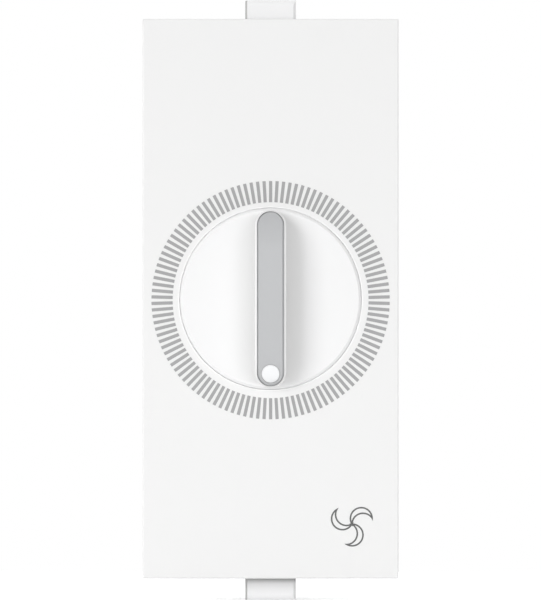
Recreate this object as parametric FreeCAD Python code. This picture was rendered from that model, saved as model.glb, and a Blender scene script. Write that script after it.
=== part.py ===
import FreeCAD, Part
import math
import os
from FreeCAD import Vector

# One-module fan speed switch, in millimetres. X is to the right, Z is up and the front
# faces -Y. The origin is on the knob's axis, in the plane where the front of the support
# frame's lip lies, so y is negative in front of the frame and positive behind it.

# How far a cut runs past a face, and how far a joined piece reaches into its carrier
past = 1.0
root = 0.3

# Front plate
plate_width = 22.5
plate_height = 49.2
plate_front = -6.0
plate_wall = 1.8
plate_edge_radius = 0.15
skirt_wall = 1.2
skirt_back = -0.5
post_width = 1.8
post_inset = 1.2

# Tick marks printed round the knob
tick_count = 114
tick_width = 0.28
tick_length = 1.86
tick_gap_to_knob = 0.66
tick_gap_to_edge = 0.78
tick_ring_drop = 0.12
print_thickness = 0.03

# Knob disc and the well that it turns in
knob_proud = 0.35
knob_rim_chamfer = 0.2
well_depth = 0.9
well_gap = 0.1
boss_wall = 1.0
boss_hole_gap = 0.25
boss_back = -0.6
socket_end_wall = 0.85

# Grip bar across the knob, with its grey inlay and white pointer
grip_width = 2.7
grip_end_gap = 0.12
grip_height = 4.0
grip_crown_share = 2.55
grip_end_radius = 4.0
grip_edge_chamfer = 0.12
grip_crown_overrun = 0.1
grip_core_width = 1.0
grip_core_end_wall = 0.9
grip_core_depth = 1.3
inlay_border = 0.17
inlay_depth = 0.9
inlay_foot = 0.4
inlay_edge_chamfer = 0.16
inlay_gap = 0.02
dot_radius = 0.775
dot_to_inlay_end = 1.08
dot_depth = 1.5

# Rear housing and the rim that enters the front plate
housing_side_step = 0.1
housing_end_step = 0.2
housing_wall = 1.4
shoulder_depth = 1.4
rim_wall = 1.0
rim_gap = 0.1
rim_reach = 3.4
rear_box_side_step = 0.4
rear_box_end_step = 3.4
rear_box_wall = 1.5
housing_corner_radius = 0.6

# Snap nubs on the rim and their windows in the plate's skirt
snap_length = 5.0
snap_from_end = 11.6
snap_height = 0.8
snap_depth = 1.6
snap_gap = 0.1
snap_land = 1.0

# Spring catches at the top and bottom
catch_width = 4.46
catch_thickness = 1.3
catch_foot = 2.8
catch_front = -3.4
catch_slot = 0.6
catch_reach_top = 1.7
catch_reach_bottom = 1.95
catch_tip_radius = 0.5
catch_chamfer = 0.22
lip_slot = 2.2
rear_tooth_height = 0.9
rear_tooth_land = 0.7
rear_tooth_ramp = 2.2

# Spindle, star wheel and the clip that holds the knob on it
spindle_radius = 3.0
spindle_flat = 2.0
spindle_tip_gap = 0.1
spindle_chamfer = 0.4
running_gap = 0.05
clip_thickness = 0.3
clip_width = 3.6
clip_lip = 0.3
ring_thickness = 0.5
ring_width = 1.6
ring_groove_depth = 0.5
ring_mouth = 4.4
star_thickness = 2.9
star_notch_radius = 1.6
star_notch_depth = 0.6

# Step switch
position_count = 6
position_step = 60.0
switch_margin = 0.3
switch_corner = 0.8
switch_front = 0.4
cover_thickness = 1.2
cavity_wall = 0.8
cavity_depth = 4.4
floor_thickness = 2.0
foot_height = 0.8
foot_width = 1.6
foot_inset = 3.1
star_gap = 1.5
stop_rim = 0.2
stop_width_share = 0.34
stop_depth = 0.6
stop_lug_half_angle = 14.5
stop_play_angle = 0.7
rivet_radius = 0.8
rivet_head_radius = 1.3
rivet_head_height = 0.4
rivet_inset = 1.6
contact_size = 1.8
contact_inset = 2.7
contact_thickness = 0.4
contact_pin_width = 0.9
contact_pin_thickness = 0.5
common_ring_inset = 1.4
common_ring_share = 0.56
wiper_thickness = 0.3
wiper_width = 2.2
wiper_overhang = 0.9
wiper_foot_width = 1.2
wiper_gap = 0.05
detent_leaf = 0.3
detent_height = 2.0
detent_length_share = 0.78
detent_inset_in_wall = 0.5
detent_nose_radius = 1.2
detent_nose_gap = 0.1
detent_inset = 0.4

# Circuit board and the parts on it
board_side_gap = 0.95
board_end_gap = 1.8
board_thickness = 1.6
pin_hole_gap = 0.1
lead_proud = 0.7
capacitor_side_gap = 1.05
part_gap = 0.3
capacitor_gap = 1.0
large_capacitor_depth = 11.5
large_capacitor_share = 0.6
small_capacitor_step = 1.1
capacitor_edge_radius = 0.6
capacitor_lead_width = 0.7
capacitor_lead_inset = 1.7
resistor_radius = 1.2
resistor_length = 6.5
resistor_lead_width = 0.5
resistor_lead_reach = 1.95
resistor_gap = 0.7
resistor_to_switch = 2.9

# Wire terminals at the bottom of the rear box
cage_side_gap = 0.65
cage_spacing = 4.4
capacitor_to_cage = 2.8
screw_radius = 1.5
screw_head_radius = 2.6
screw_head_share = 0.1322
screw_head_chamfer = 0.3
screw_slot_width = 0.7
screw_slot_depth = 0.9
screw_head_gap = 0.1
screw_tip_gap = 0.05
driver_hole_radius = 2.1
sleeve_wall = 0.55
sleeve_gap = 0.15
cage_height = 6.0
cage_side_wall = 1.1
cage_thread_share = 0.1653
cage_base_wall = 0.9
cage_floor_gap = 0.3
cage_travel = 1.5
wire_hole_radius = 1.4
wire_hole_chamfer = 0.3
bar_width = 3.6
bar_thickness = 0.8
bar_pin_width = 1.2
bar_leg_gap = 0.5
bar_to_wall = 0.5
partition_gap = 0.3

# Sizes and places worked out from those above
tick_inner_radius = plate_width / 2 - tick_gap_to_edge - tick_length
knob_radius = tick_inner_radius - tick_gap_to_knob
knob_front = plate_front - knob_proud
knob_back = plate_front + well_depth - well_gap
well_radius = knob_radius + well_gap
plate_inside = plate_front + plate_wall
boss_radius = spindle_radius + boss_wall
grip_length = 2 * (knob_radius - grip_end_gap)
grip_crown_radius = grip_crown_share * grip_length
inlay_width = grip_width - 2 * inlay_border
inlay_length = grip_length - 2 * inlay_border
dot_offset = inlay_length / 2 - dot_to_inlay_end
grip_crest = knob_front - grip_height
grip_end_centre = grip_length / 2 + grip_crown_overrun - grip_end_radius
inlay_back = knob_front - inlay_foot
socket_front = knob_front + socket_end_wall
housing_width = plate_width - 2 * housing_side_step
housing_height = plate_height - 2 * housing_end_step
rim_width = plate_width - 2 * skirt_wall - 2 * rim_gap
rim_height = plate_height - 2 * skirt_wall - 2 * rim_gap
rim_front = skirt_back - rim_reach
snap_place = plate_height / 2 - snap_from_end
rear_box_width = housing_width - 2 * rear_box_side_step
rear_box_height = housing_height - 2 * rear_box_end_step
rear_inside_width = rear_box_width - 2 * rear_box_wall
rear_top = rear_box_height / 2 - rear_box_wall
board_width = housing_width - 2 * (housing_wall + board_side_gap)
board_height = housing_height - 2 * (housing_wall + board_end_gap)
switch_size = board_width - 2 * switch_margin
post_circle_radius = switch_size / 2 - post_inset
cavity_radius = switch_size / 2 - cavity_wall
rivet_place = switch_size / 2 - rivet_inset
foot_place = cavity_radius - foot_inset
star_radius = cavity_radius - star_gap
ring_radius = spindle_radius + ring_width
stop_outer_radius = star_radius - stop_rim
stop_inner_radius = stop_outer_radius - stop_width_share * (star_radius - spindle_radius)
contact_circle_radius = cavity_radius - contact_inset
common_outer_radius = contact_circle_radius - common_ring_inset
common_inner_radius = common_ring_share * common_outer_radius
detent_seat = cavity_radius - detent_inset_in_wall
detent_half_length = detent_length_share * cavity_radius
cover_back = switch_front + cover_thickness
switch_floor = cover_back + cavity_depth
switch_back = switch_floor + floor_thickness
board_front = switch_back + foot_height
board_back = board_front + board_thickness
step_back = board_back + housing_wall
catch_root = step_back - catch_foot
rear_inside = board_back + large_capacitor_depth + 2 * part_gap
rear_box_back = rear_inside + rear_box_wall
small_capacitor_depth = large_capacitor_depth - small_capacitor_step
capacitor_width = rear_inside_width - 2 * capacitor_side_gap
capacitor_lead_pitch = capacitor_width - 2 * capacitor_lead_inset
resistor_lead_pitch = resistor_length + 2 * resistor_lead_reach
resistor_pitch = 2 * resistor_radius + resistor_gap
upper_resistor_place = rear_top - part_gap - resistor_radius
surge_resistor_places = (upper_resistor_place - resistor_pitch, upper_resistor_place)
bleed_resistor_place = switch_size / 2 + resistor_to_switch + resistor_radius
cage_width = (rear_inside_width - cage_spacing) / 2 - cage_side_gap
terminal_place = (cage_spacing + cage_width) / 2
terminal_places = {"live": -terminal_place, "load": terminal_place}
star_front = cover_back + 2 * running_gap
star_back = star_front + star_thickness
detent_front = star_front + detent_inset
contact_face = switch_floor - contact_thickness
star_notch_centre = star_radius - star_notch_depth + star_notch_radius
terminal_depth = rear_inside - board_back
screw_head_height = screw_head_share * terminal_depth
cage_thread_wall = cage_thread_share * terminal_depth
head_back = rear_inside - screw_head_gap
head_front = head_back - screw_head_height
cage_back = head_front - cage_travel - 2 * screw_head_gap
bar_back = cage_back - cage_thread_wall - bar_thickness + screw_head_gap
bar_front = bar_back - bar_thickness
wire_gap = 2 * wire_hole_radius
window_front = bar_front - wire_gap
cage_front = window_front - cage_base_wall
wire_axis = bar_front - wire_hole_radius
cage_bottom = cage_floor_gap - rear_top
cage_top = cage_bottom + cage_height
cage_middle = (cage_bottom + cage_top) / 2
small_capacitor_bottom = cage_top + capacitor_to_cage
large_capacitor_top = surge_resistor_places[0] - resistor_radius - part_gap
capacitors_height = large_capacitor_top - small_capacitor_bottom - capacitor_gap
large_capacitor_height = large_capacitor_share * capacitors_height
small_capacitor_height = capacitors_height - large_capacitor_height
large_capacitor_bottom = large_capacitor_top - large_capacitor_height


def block(x0, x1, y0, y1, z0, z1):
    """A box between two corners."""
    return Part.makeBox(x1 - x0, y1 - y0, z1 - z0, Vector(x0, y0, z0))


def slab(width, height, y0, y1, x=0.0, z=0.0):
    """A box centred on a line along Y."""
    return block(x - width / 2, x + width / 2, y0, y1, z - height / 2, z + height / 2)


def rod(radius, y0, y1, x=0.0, z=0.0):
    """A cylinder along Y."""
    return Part.makeCylinder(radius, y1 - y0, Vector(x, y0, z), Vector(0, 1, 0))


def tube(outer, inner, y0, y1, x=0.0, z=0.0):
    """A ring or sleeve along Y."""
    return rod(outer, y0, y1, x, z).cut(rod(inner, y0 - past, y1 + past, x, z))


def fuse_all(shapes):
    """One solid from touching shapes, with the seams between flush faces removed."""
    result = shapes[0]
    for shape in shapes[1:]:
        result = result.fuse(shape)
    return result.removeSplitter()


def cut_all(shape, tools):
    """The shape with each tool cut away."""
    for tool in tools:
        shape = shape.cut(tool)
    return shape


def prism_along_x(points, x0, x1):
    """A straight prism from a closed outline of (y, z) points."""
    corners = [Vector(x0, y, z) for y, z in points]
    face = Part.Face(Part.makePolygon(corners + corners[:1]))
    return face.extrude(Vector(x1 - x0, 0, 0))


def stadium(width, length, y0, y1):
    """A prism along Y with straight sides and round ends, upright on the knob."""
    radius = width / 2
    centre = length / 2 - radius
    body = slab(width, 2 * centre, y0, y1)
    return fuse_all([body, rod(radius, y0, y1, z=centre), rod(radius, y0, y1, z=-centre)])


def dial_point(radius, angle, y):
    """A point at an angle clockwise from six o'clock, seen from the front."""
    turn = math.radians(angle)
    return Vector(-radius * math.sin(turn), y, -radius * math.cos(turn))


def sector(inner, outer, start, end, y0, y1):
    """Part of a ring between two dial angles."""
    middle = (start + end) / 2
    outer_points = [dial_point(outer, angle, y0) for angle in (start, middle, end)]
    inner_points = [dial_point(inner, angle, y0) for angle in (end, middle, start)]
    edges = [
        Part.Arc(*outer_points).toShape(),
        Part.LineSegment(outer_points[2], inner_points[0]).toShape(),
        Part.Arc(*inner_points).toShape(),
        Part.LineSegment(inner_points[2], outer_points[0]).toShape(),
    ]
    return Part.Face(Part.Wire(edges)).extrude(Vector(0, y1 - y0, 0))


def y_edges(shape):
    """The four corners of a box that run along Y."""
    found = []
    for edge in shape.Edges:
        start, end = (vertex.Point for vertex in edge.Vertexes)
        if abs(start.x - end.x) < 1e-6 and abs(start.z - end.z) < 1e-6:
            found.append(edge)
    return found


def rounded_slab(radius, *places):
    """A box centred on a line along Y, with its long corners rounded."""
    box = slab(*places)
    return box.makeFillet(radius, y_edges(box))


def bevelled_slab(bevel, *places):
    """A box centred on a line along Y, with its long corners bevelled."""
    box = slab(*places)
    return box.makeChamfer(bevel, y_edges(box))


# Front plate with the knob's well, the skirt and the pads that clamp the switch

def side_nub(side, z, gap):
    """Ramped nub on the rim's side wall, or its window when a gap is given."""
    x_in = rim_width / 2 - gap
    x_out = rim_width / 2 + snap_height + 2 * gap
    back = skirt_back - snap_land
    front = back - snap_depth
    half = snap_length / 2 + 2 * gap
    if gap:
        nub = block(x_in, plate_width, front - gap, back + gap, z - half, z + half)
    else:
        ramp = [Vector(x_in - root, front, z - half), Vector(x_in, front, z - half),
                Vector(x_out, (front + back) / 2, z - half), Vector(x_out, back, z - half),
                Vector(x_in - root, back, z - half)]
        face = Part.Face(Part.makePolygon(ramp + ramp[:1]))
        nub = face.extrude(Vector(0, 0, 2 * half))
    return nub if side > 0 else nub.mirror(Vector(0, 0, 0), Vector(1, 0, 0))


def catch_notch(end, y0, y1):
    """Opening for a spring catch through an end wall, from y0 to y1."""
    half = catch_width / 2 + catch_slot
    inside = rim_height / 2 - rim_wall - root
    if end > 0:
        return block(-half, half, y0, y1, inside, plate_height)
    return block(-half, half, y0, y1, -plate_height, -inside)


def make_front_plate():
    shell = slab(plate_width, plate_height, plate_front, skirt_back)
    rim_edges = [
        edge for edge in shell.Edges
        if all(abs(vertex.Point.y - plate_front) < 1e-6 for vertex in edge.Vertexes)
    ]
    shell = shell.makeFillet(plate_edge_radius, rim_edges)
    inside = slab(plate_width - 2 * skirt_wall, plate_height - 2 * skirt_wall,
                  plate_inside, skirt_back + past)
    posts = [
        slab(post_width, post_width, plate_inside - root, switch_front,
             post_circle_radius * x, post_circle_radius * z)
        for x, z in ((1, 0), (-1, 0), (0, 1), (0, -1))
    ]
    plate = fuse_all([shell.cut(inside)] + posts)
    well = rod(well_radius, plate_front - past, plate_front + well_depth)
    boss_hole = rod(boss_radius + boss_hole_gap, plate_front - past, plate_inside + past)
    windows = [
        side_nub(side, end * snap_place, snap_gap) for side in (1, -1) for end in (1, -1)
    ]
    notch_front = catch_front - 3 * snap_gap
    notches = [catch_notch(end, notch_front, skirt_back + past) for end in (1, -1)]
    return cut_all(plate, [well, boss_hole] + windows + notches)


def make_dial_marks():
    """A full ring of straight radial marks, with one mark at the top and at the bottom.

    The ring's centre lies a little below the knob's axis.
    """
    marks = []
    for index in range(tick_count):
        mark = block(-tick_width / 2, tick_width / 2, plate_front - print_thickness,
                     plate_front, tick_inner_radius, tick_inner_radius + tick_length)
        mark.rotate(Vector(0, 0, 0), Vector(0, 1, 0), 360.0 * index / tick_count)
        mark.translate(Vector(0, 0, -tick_ring_drop))
        marks.append(mark)
    return Part.makeCompound(marks)


# Rear housing with its rim, catches, terminal pockets and wire holes

def make_catch(end):
    """Spring catch with a flat front hook, a slot for the frame's lip and a rear tooth."""
    reach = catch_reach_top if end > 0 else catch_reach_bottom
    outside = housing_height / 2
    inside = outside - catch_thickness
    tip = plate_height / 2 + reach
    tooth = plate_height / 2 + rear_tooth_height
    tooth_end = lip_slot + rear_tooth_land
    tongue = prism_along_x(
        [(catch_front, inside), (catch_root + root, inside), (catch_root + root, outside),
         (tooth_end + rear_tooth_ramp, outside), (tooth_end, tooth), (lip_slot, tooth),
         (lip_slot, outside), (0, outside), (0, tip), (catch_front, tip)],
        -catch_width / 2, catch_width / 2)
    tip_edges = [
        edge for edge in tongue.Edges
        if all(abs(vertex.Point.y - catch_front) < 1e-6 and abs(vertex.Point.z - tip) < 1e-6
               for vertex in edge.Vertexes)
    ]
    tongue = tongue.makeFillet(catch_tip_radius, tip_edges)
    for side in (1, -1):
        corner = Vector(side * catch_width / 2, catch_front, 0)
        wedge = Part.Face(Part.makePolygon([
            corner + Vector(side, -1, 0),
            corner + Vector(side, catch_chamfer + 1, 0),
            corner + Vector(0, catch_chamfer, 0),
            corner + Vector(-side * catch_chamfer, 0, 0),
            corner + Vector(-side * catch_chamfer, -1, 0),
            corner + Vector(side, -1, 0)])).extrude(Vector(0, 0, plate_height))
        tongue = tongue.cut(wedge)
    return tongue if end > 0 else tongue.mirror(Vector(0, 0, 0), Vector(0, 0, 1))


def make_terminal_pockets():
    """Partition between the terminals and a square boss bored out for each screw head."""
    half = terminal_place - cage_width / 2 - partition_gap
    partition = block(-half, half, cage_front, rear_inside + root,
                      -rear_box_height / 2 + rear_box_wall / 2, cage_top + bar_leg_gap)
    inner = screw_head_radius + sleeve_gap
    outer = 2 * (inner + sleeve_wall)
    front = head_front - screw_head_gap / 2
    sleeves = [
        slab(outer, outer, front, rear_inside + root, x, cage_middle).cut(
            rod(inner, front - past, rear_inside, x, cage_middle))
        for x in terminal_places.values()
    ]
    return [partition] + sleeves


def make_rear_housing():
    front = rounded_slab(housing_corner_radius, housing_width, housing_height,
                         skirt_back, step_back)
    rear = rounded_slab(housing_corner_radius, rear_box_width, rear_box_height,
                        step_back - past, rear_box_back)
    rim = slab(rim_width, rim_height, rim_front, skirt_back + past)
    nubs = [side_nub(side, end * snap_place, 0) for side in (1, -1) for end in (1, -1)]
    body = fuse_all([front, rear, rim] + nubs)
    rim_inside = slab(rim_width - 2 * rim_wall, rim_height - 2 * rim_wall,
                      rim_front - past, skirt_back + shoulder_depth + past)
    front_inside = slab(housing_width - 2 * housing_wall, housing_height - 2 * housing_wall,
                        skirt_back + shoulder_depth, board_back)
    rear_cavity = slab(rear_inside_width, 2 * rear_top, board_back - past, rear_inside)
    notches = [catch_notch(end, rim_front - past, catch_root) for end in (1, -1)]
    body = cut_all(body, [rim_inside, front_inside, rear_cavity] + notches)
    body = fuse_all([body, make_catch(1), make_catch(-1)] + make_terminal_pockets())
    floor = -rear_box_height / 2
    holes = []
    for x in terminal_places.values():
        holes.append(rod(driver_hole_radius, rear_inside - snap_gap, rear_box_back + past,
                         x, cage_middle))
        holes.append(Part.makeCylinder(wire_hole_radius, rear_box_wall + 1.5 * past,
                                       Vector(x, wire_axis, floor - past)))
        holes.append(Part.makeCone(wire_hole_radius + wire_hole_chamfer, wire_hole_radius,
                                   wire_hole_chamfer, Vector(x, wire_axis, floor)))
    return cut_all(body, holes)


# Knob with its grip bar, inlay, pointer and spring clip

def crest_region(drop):
    """Everything under the grip's crown, lowered by drop, as a prism across X.

    The crown is one wide arc with a tighter arc at each end that meets it smoothly. It
    runs a little past the bar's ends, so that the ends stand straight up from the disc.
    """
    end_centre = grip_end_centre
    between = grip_crown_radius - grip_end_radius
    slope = math.asin(end_centre / between)
    crown_centre = grip_crest + grip_crown_radius
    end_y = crown_centre - between * math.cos(slope)
    crown = grip_crown_radius - drop
    end = grip_end_radius - drop

    def on_crown(angle):
        return crown * math.sin(angle), crown_centre - crown * math.cos(angle)

    def on_end(angle):
        return end_centre + end * math.sin(angle), end_y - end * math.cos(angle)

    def point(pair, side=1):
        return Vector(-grip_width, pair[1], side * pair[0])

    right_angle = math.pi / 2
    half_way = (slope + right_angle) / 2
    foot = (end_centre + end, knob_front + root)
    edges = [
        Part.LineSegment(point(foot, -1), point(on_end(right_angle), -1)).toShape(),
        Part.Arc(point(on_end(right_angle), -1), point(on_end(half_way), -1),
                 point(on_end(slope), -1)).toShape(),
        Part.Arc(point(on_crown(slope), -1), point(on_crown(0)),
                 point(on_crown(slope))).toShape(),
        Part.Arc(point(on_end(slope)), point(on_end(half_way)),
                 point(on_end(right_angle))).toShape(),
        Part.LineSegment(point(on_end(right_angle)), point(foot)).toShape(),
        Part.LineSegment(point(foot), point(foot, -1)).toShape(),
    ]
    return Part.Face(Part.Wire(edges)).extrude(Vector(2 * grip_width, 0, 0))


def crown_edges(shape, width):
    """Edges where the crown meets the sides of a bar of the given width."""
    found = []
    for edge in shape.Edges:
        middle = edge.valueAt((edge.FirstParameter + edge.LastParameter) / 2)
        ends = [vertex.Point for vertex in edge.Vertexes]
        straight_up = len(ends) == 2 and (ends[0] - ends[1]).cross(Vector(0, 1, 0)).Length < 1e-6
        across = abs(middle.x) > width / 2 - 1e-6 or abs(middle.z) > grip_length / 2 - width
        if across and not straight_up and middle.y < inlay_back - inlay_gap:
            found.append(edge)
    return found


def make_grip():
    """The bar that the fingers hold, before the inlay's bed is cut."""
    bar = stadium(grip_width, grip_length, grip_crest - past, knob_front + root)
    bar = bar.common(crest_region(0))
    return bar.makeChamfer(grip_edge_chamfer, crown_edges(bar, grip_width))


def make_knob_disc():
    """The disc with its chamfered rim."""
    disc = rod(knob_radius, knob_front, knob_back)
    rim = [
        edge for edge in disc.Edges
        if all(abs(vertex.Point.y - knob_front) < 1e-6 for vertex in edge.Vertexes)
    ]
    return disc.makeChamfer(knob_rim_chamfer, rim)


def make_knob_body():
    boss = rod(boss_radius, knob_back - root, boss_back)
    knob = fuse_all([make_knob_disc(), boss, make_grip()])
    bed = stadium(inlay_width + 2 * inlay_gap, inlay_length + 2 * inlay_gap,
                  grip_crest - past, inlay_back)
    bed = bed.cut(crest_region(inlay_depth))
    dot_bed = rod(dot_radius + inlay_gap, grip_crest, dot_back() + inlay_gap, z=-dot_offset)
    socket = rod(spindle_radius + running_gap, socket_front, boss_back + past)
    flat = block(-boss_radius, boss_radius, socket_front - past, boss_back + 2 * past,
                 spindle_flat + clip_thickness + 2 * running_gap, boss_radius + past)
    core_end = grip_length / 2 - grip_core_end_wall - grip_end_radius / 2
    core = slab(grip_core_width, 2 * core_end, knob_front - grip_core_depth, knob_back + past)
    core = core.cut(rod(boss_radius, knob_front - grip_height, knob_back + 2 * past))
    return cut_all(knob, [bed, dot_bed, socket.cut(flat), core])


def dot_back():
    """The y of the pointer dot's hidden end, measured from the crown above it."""
    between = grip_crown_radius - grip_end_radius
    end_y = grip_crest + grip_crown_radius - math.sqrt(between ** 2 - grip_end_centre ** 2)
    lean = max(dot_offset - grip_end_centre, 0)
    return end_y - math.sqrt(grip_end_radius ** 2 - lean ** 2) + dot_depth


def make_knob_inlay():
    strip = stadium(inlay_width, inlay_length, grip_crest - past, inlay_back)
    strip = strip.common(crest_region(0))
    strip = strip.makeChamfer(inlay_edge_chamfer, crown_edges(strip, inlay_width))
    strip = strip.cut(crest_region(inlay_depth))
    hole = rod(dot_radius + inlay_gap, grip_crest - past, inlay_back + past, z=-dot_offset)
    return strip.cut(hole)


def make_pointer_dot():
    plug = rod(dot_radius, grip_crest - past, dot_back(), z=-dot_offset)
    return plug.common(crest_region(-print_thickness))


def make_knob_clip():
    """Spring strip on the spindle's flat, with a lip over the end of the boss."""
    low = spindle_flat + running_gap
    high = low + clip_thickness
    strip = block(-clip_width / 2, clip_width / 2, socket_front + root, boss_back + clip_lip,
                  low, high)
    lip = block(-clip_width / 2, clip_width / 2, boss_back, boss_back + clip_lip,
                low, boss_radius - clip_thickness)
    return fuse_all([strip, lip])


# Spindle with its star wheel, and the moving contact

def make_switch_spindle():
    tip = socket_front + spindle_tip_gap
    shaft = rod(spindle_radius, tip + spindle_chamfer, star_front)
    nose = Part.makeCone(spindle_radius - spindle_chamfer, spindle_radius, spindle_chamfer,
                         Vector(0, tip, 0), Vector(0, 1, 0))
    star = rod(star_radius, star_front, star_back)
    notches = [
        rod(star_notch_radius, star_front - past, star_back + past,
            star_notch_centre * math.cos(math.radians(position_step * index)),
            star_notch_centre * math.sin(math.radians(position_step * index)))
        for index in range(round(360 / position_step))
    ]
    lug = sector(stop_inner_radius + running_gap, stop_outer_radius - running_gap,
                 -stop_lug_half_angle, stop_lug_half_angle,
                 cover_back - stop_depth + running_gap, star_front + root)
    spindle = fuse_all([shaft, nose, cut_all(star, notches), lug])
    flat = block(-spindle_radius, spindle_radius, tip - past, boss_back + clip_lip + running_gap,
                 spindle_flat, spindle_radius + past)
    groove_back = switch_front - running_gap
    groove = tube(spindle_radius + past, spindle_radius - ring_groove_depth,
                  groove_back - ring_thickness - running_gap, groove_back)
    return cut_all(spindle, [flat, groove])


def make_spindle_ring():
    """Open retaining ring that keeps the spindle in the switch."""
    back = switch_front - 2 * running_gap
    ring = tube(ring_radius, spindle_radius - ring_groove_depth + running_gap / 2,
                back - ring_thickness, back)
    mouth = block(-ring_mouth / 2, ring_mouth / 2, back - past, back + past,
                  -ring_radius - past, 0)
    return ring.cut(mouth)


def make_wiper():
    """Copper arm under the star wheel that joins the common ring to one contact."""
    back = star_back + wiper_thickness
    middle = (common_inner_radius + common_outer_radius) / 2
    hub = tube(common_outer_radius, common_inner_radius, star_back, back)
    reach = contact_circle_radius + wiper_overhang
    arm = block(-wiper_width / 2, wiper_width / 2, star_back, back, -reach, -middle)
    places = [(0, -contact_circle_radius), (0, middle), (middle, 0), (-middle, 0)]
    feet = [slab(wiper_foot_width, wiper_foot_width, star_back, contact_face - wiper_gap, x, z)
            for x, z in places]
    return fuse_all([hub, arm] + feet)


# Fixed parts of the step switch

def rivet_places():
    return [(side * rivet_place, side * rivet_place) for side in (1, -1)]


def make_switch_cover():
    cover = bevelled_slab(switch_corner, switch_size, switch_size, switch_front, cover_back)
    bore = rod(spindle_radius + running_gap, switch_front - past, cover_back + past)
    gap = position_step * (position_count - 1)
    free = (360 - gap) / 2
    wall = free - stop_lug_half_angle - stop_play_angle
    groove = sector(stop_inner_radius - running_gap, stop_outer_radius + running_gap,
                    wall - free, gap + free - wall, cover_back - stop_depth, cover_back + past)
    holes = [rod(rivet_radius, switch_front - past, cover_back + past, x, z)
             for x, z in rivet_places()]
    return cut_all(cover, [bore, groove] + holes)


def make_switch_base():
    base = bevelled_slab(switch_corner, switch_size, switch_size, cover_back, switch_back)
    feet = [slab(foot_width, foot_width, switch_back - root, board_front,
                 x * foot_place, z * foot_place)
            for x in (1, -1) for z in (1, -1)]
    base = fuse_all([base] + feet)
    cavity = rod(cavity_radius, cover_back - past, switch_floor)
    leaf_slot = block(detent_seat - running_gap, detent_seat + detent_leaf + running_gap,
                      cover_back - past, detent_front + detent_height + running_gap,
                      -detent_half_length - running_gap, detent_half_length + running_gap)
    holes = [rod(rivet_radius, cover_back - past, switch_back + past, x, z)
             for x, z in rivet_places()]
    holes += [contact_pin(switch_floor - past, switch_back + past, x, z)
              for x, z in contact_places() + [common_pin_place()]]
    return cut_all(base, [cavity, leaf_slot] + holes)


def make_switch_rivets():
    """Two rivets on a diagonal, whose tails are flush with the back of the base."""
    rivets = []
    for x, z in rivet_places():
        head_front = switch_front - rivet_head_height
        head = rod(rivet_head_radius, head_front, switch_front, x, z)
        rivets.append(fuse_all([head, rod(rivet_radius, head_front, switch_back, x, z)]))
    return Part.makeCompound(rivets)


def contact_places():
    places = []
    for index in range(position_count):
        point = dial_point(contact_circle_radius, position_step * index, 0)
        places.append((point.x, point.z))
    return places


def common_pin_place():
    return 0.0, (common_inner_radius + common_outer_radius) / 2


def contact_pin(y0, y1, x, z, gap=0.0):
    """Flat blade under a contact, or its slot when a gap is given."""
    return slab(contact_pin_width + 2 * gap, contact_pin_thickness + 2 * gap, y0, y1, x, z)


def make_fixed_contact(x, z):
    pad = slab(contact_size, contact_size, contact_face, switch_floor, x, z)
    pin = contact_pin(contact_face, board_back + pin_hole_gap, x, z)
    return fuse_all([pad, pin])


def make_common_contact():
    x, z = common_pin_place()
    ring = tube(common_outer_radius, common_inner_radius, contact_face, switch_floor)
    pin = contact_pin(contact_face, board_back + pin_hole_gap, x, z)
    return fuse_all([ring, pin])


def make_detent_spring():
    """Leaf spring whose round nose sits in a notch of the star wheel."""
    front = detent_front
    back = front + detent_height
    nose_x = star_radius - star_notch_depth + detent_nose_gap + detent_nose_radius
    leaf = block(detent_seat, detent_seat + detent_leaf, front, back,
                 -detent_half_length, detent_half_length)
    nose = rod(detent_nose_radius, front, back, nose_x, 0)
    hollow = rod(detent_nose_radius - detent_leaf, front - past, back + past, nose_x, 0)
    behind = block(detent_seat + detent_leaf, switch_size, front - past, back + past,
                   -detent_half_length, detent_half_length)
    outer = fuse_all([leaf, nose])
    mouth = block(nose_x, detent_seat + detent_leaf + past, front - past, back + past,
                  -detent_nose_radius + detent_leaf, detent_nose_radius - detent_leaf)
    return cut_all(outer, [hollow, behind, mouth])


# Circuit board with capacitors and resistors

def capacitor_lead_places(bottom, height):
    z = bottom + height / 2
    return [(side * capacitor_lead_pitch / 2, z) for side in (1, -1)]


def resistor_lead_places(z):
    return [(side * resistor_lead_pitch / 2, z) for side in (1, -1)]


def make_circuit_board():
    board = slab(board_width, board_height, board_front, board_back)
    holes = []
    for bottom, height in ((large_capacitor_bottom, large_capacitor_height),
                           (small_capacitor_bottom, small_capacitor_height)):
        holes += [(x, z, capacitor_lead_width)
                  for x, z in capacitor_lead_places(bottom, height)]
    for z in surge_resistor_places + (bleed_resistor_place,):
        holes += [(x, z, resistor_lead_width) for x, z in resistor_lead_places(z)]
    tools = [slab(width + 2 * pin_hole_gap, width + 2 * pin_hole_gap,
                  board_front - past, board_back + past, x, z)
             for x, z, width in holes]
    tools += [contact_pin(board_front - past, board_back + past, x, z, pin_hole_gap)
              for x, z in contact_places() + [common_pin_place()]]
    leg = cage_top + bar_leg_gap + bar_thickness / 2
    tools += [slab(bar_pin_width + 2 * pin_hole_gap, bar_thickness + 2 * pin_hole_gap,
                   board_front - past, board_back + past, x, leg)
              for x in terminal_places.values()]
    return cut_all(board, tools)


def make_capacitor(bottom, height, depth):
    front = board_back + part_gap
    body = rounded_slab(capacitor_edge_radius, capacitor_width, height,
                        front, front + depth, 0.0, bottom + height / 2)
    leads = [slab(capacitor_lead_width, capacitor_lead_width, board_front - lead_proud,
                  front + past, x, z)
             for x, z in capacitor_lead_places(bottom, height)]
    return fuse_all([body] + leads)


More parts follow.
